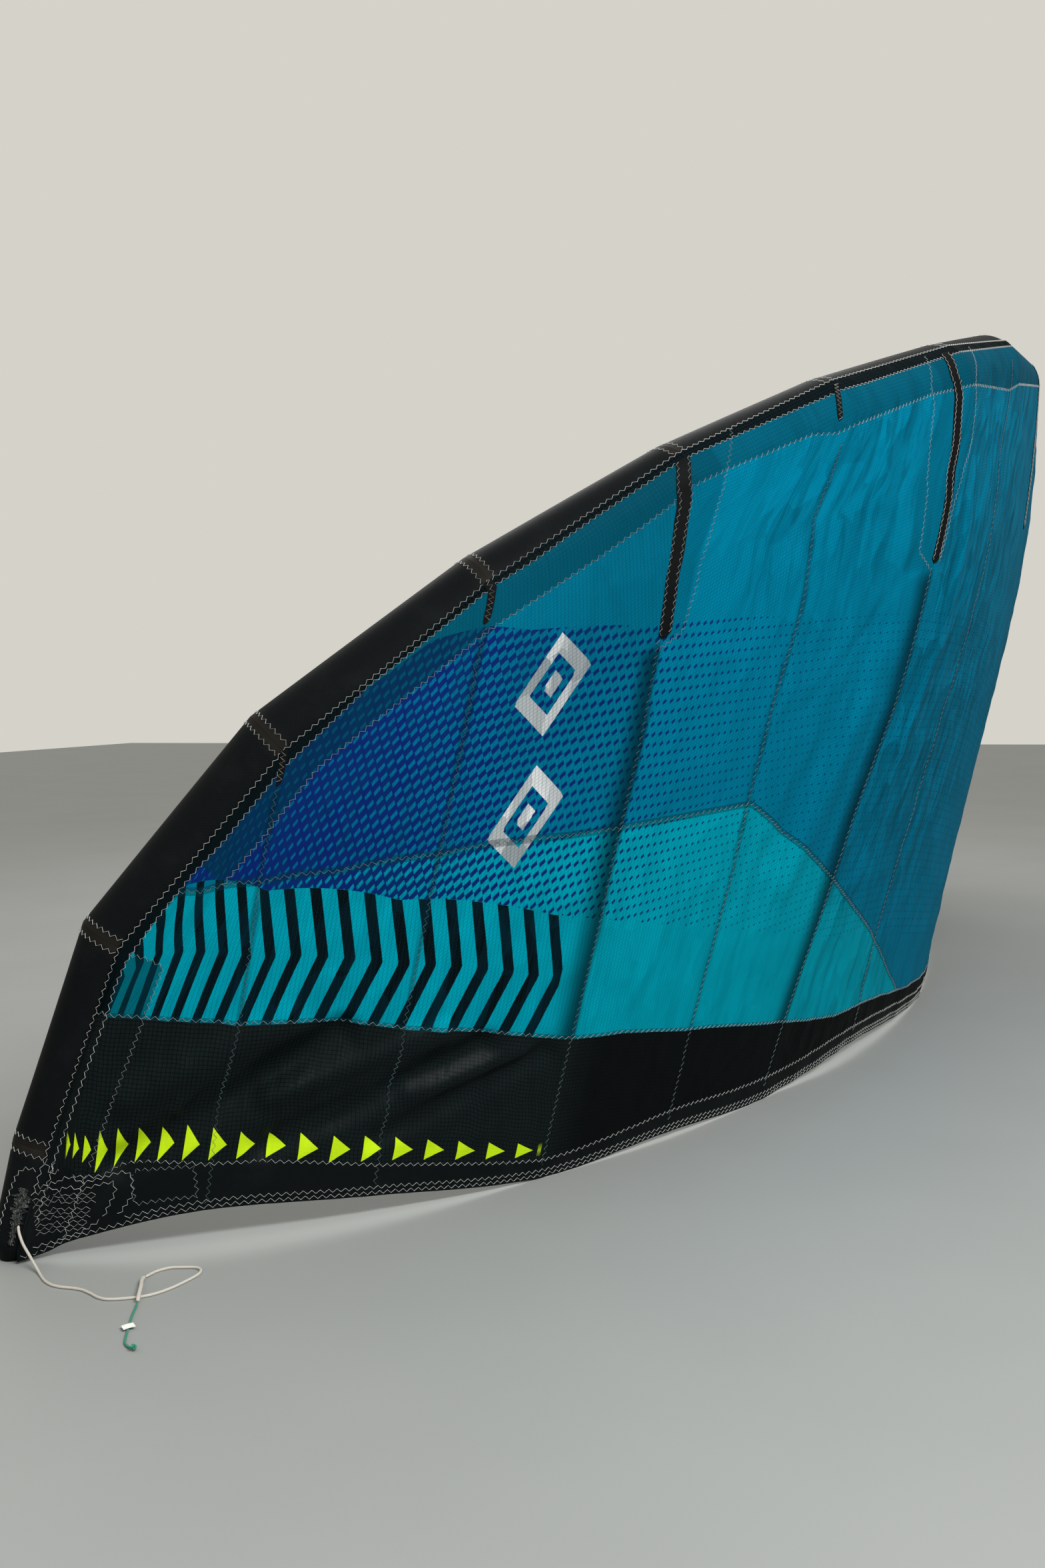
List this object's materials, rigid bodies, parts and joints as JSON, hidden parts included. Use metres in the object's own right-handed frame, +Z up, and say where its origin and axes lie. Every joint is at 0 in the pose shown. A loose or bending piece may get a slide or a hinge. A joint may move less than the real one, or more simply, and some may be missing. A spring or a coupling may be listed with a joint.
{
  "type": "inflated kitesurfing kite",
  "caption": "Inflated kite for kitesurfing: segmented air tube as curved leading edge, struts, panelled ripstop canopy and pigtail cord, standing on its trailing edge.",
  "frame": {"origin": "middle of the bounding box at floor level, below the arch", "axes": "+X from one wing tip to the other, +Y towards the hollow side where the wing tips stand, +Z up"},
  "size_m": [4.6569, 1.4273, 1.7145],
  "materials": {
    "leading_edge_cloth": "black woven polyester sailcloth with a slight sheen, zigzag stitched in grey",
    "canopy_ripstop": "coated ripstop nylon in turquoise and blue, smooth with a fine square grid",
    "black_ripstop": "coated black ripstop with a faint square grid",
    "trailing_band": "heavier black sailcloth band along the trailing edge, zigzag stitched",
    "strut_cloth": "black woven polyester sailcloth over an inflated tube",
    "strip_tape": "black woven reinforcing tape, zigzag stitched",
    "grey_webbing": "grey woven webbing, gathered and slightly frayed",
    "cord_cover": "off-white braided cord cover",
    "leader_cord": "green braided leader cord",
    "tag_fabric": "plain white woven tag"
  },
  "bodies": {
    "root": {"leading_edge_near_1": "leading_edge_cloth", "leading_edge_near_2": "leading_edge_cloth", "leading_edge_near_3": "leading_edge_cloth", "leading_edge_near_4": "leading_edge_cloth", "leading_edge_near_5": "leading_edge_cloth", "leading_edge_near_6": "leading_edge_cloth", "leading_edge_near_7": "leading_edge_cloth", "leading_edge_near_8": "leading_edge_cloth", "leading_edge_near_9": "leading_edge_cloth", "leading_edge_far_1": "leading_edge_cloth", "leading_edge_far_2": "leading_edge_cloth", "leading_edge_far_3": "leading_edge_cloth", "leading_edge_far_4": "leading_edge_cloth", "leading_edge_far_5": "leading_edge_cloth", "leading_edge_far_6": "leading_edge_cloth", "leading_edge_far_7": "leading_edge_cloth", "leading_edge_far_8": "leading_edge_cloth", "leading_edge_far_9": "leading_edge_cloth", "canopy_near_tip": "canopy_ripstop", "lower_panel_near_tip": "black_ripstop", "trailing_band_near_tip": "trailing_band", "canopy_near_quarter": "canopy_ripstop", "lower_panel_near_quarter": "black_ripstop", "trailing_band_near_quarter": "trailing_band", "canopy_near_middle": "canopy_ripstop", "lower_panel_near_middle": "black_ripstop", "trailing_band_near_middle": "trailing_band", "canopy_far_tip": "canopy_ripstop", "lower_panel_far_tip": "black_ripstop", "trailing_band_far_tip": "trailing_band", "canopy_far_quarter": "canopy_ripstop", "lower_panel_far_quarter": "black_ripstop", "trailing_band_far_quarter": "trailing_band", "canopy_far_middle": "canopy_ripstop", "lower_panel_far_middle": "black_ripstop", "trailing_band_far_middle": "trailing_band", "strut_centre": "strut_cloth", "strut_strip_centre": "strip_tape", "strut_near_outer": "strut_cloth", "strut_strip_near_outer": "strip_tape", "strut_near_quarter": "strut_cloth", "strut_strip_near_quarter": "strip_tape", "tip_patch_near": "strip_tape", "tip_webbing_near": "grey_webbing", "strut_far_outer": "strut_cloth", "strut_strip_far_outer": "strip_tape", "strut_far_quarter": "strut_cloth", "strut_strip_far_quarter": "strip_tape", "tip_patch_far": "strip_tape", "tip_webbing_far": "grey_webbing", "pigtail_cord": "cord_cover", "pigtail_sleeve": "cord_cover", "pigtail_leader": "leader_cord", "pigtail_knot": "leader_cord", "pigtail_tag": "tag_fabric"}
  },
  "joints": []
}
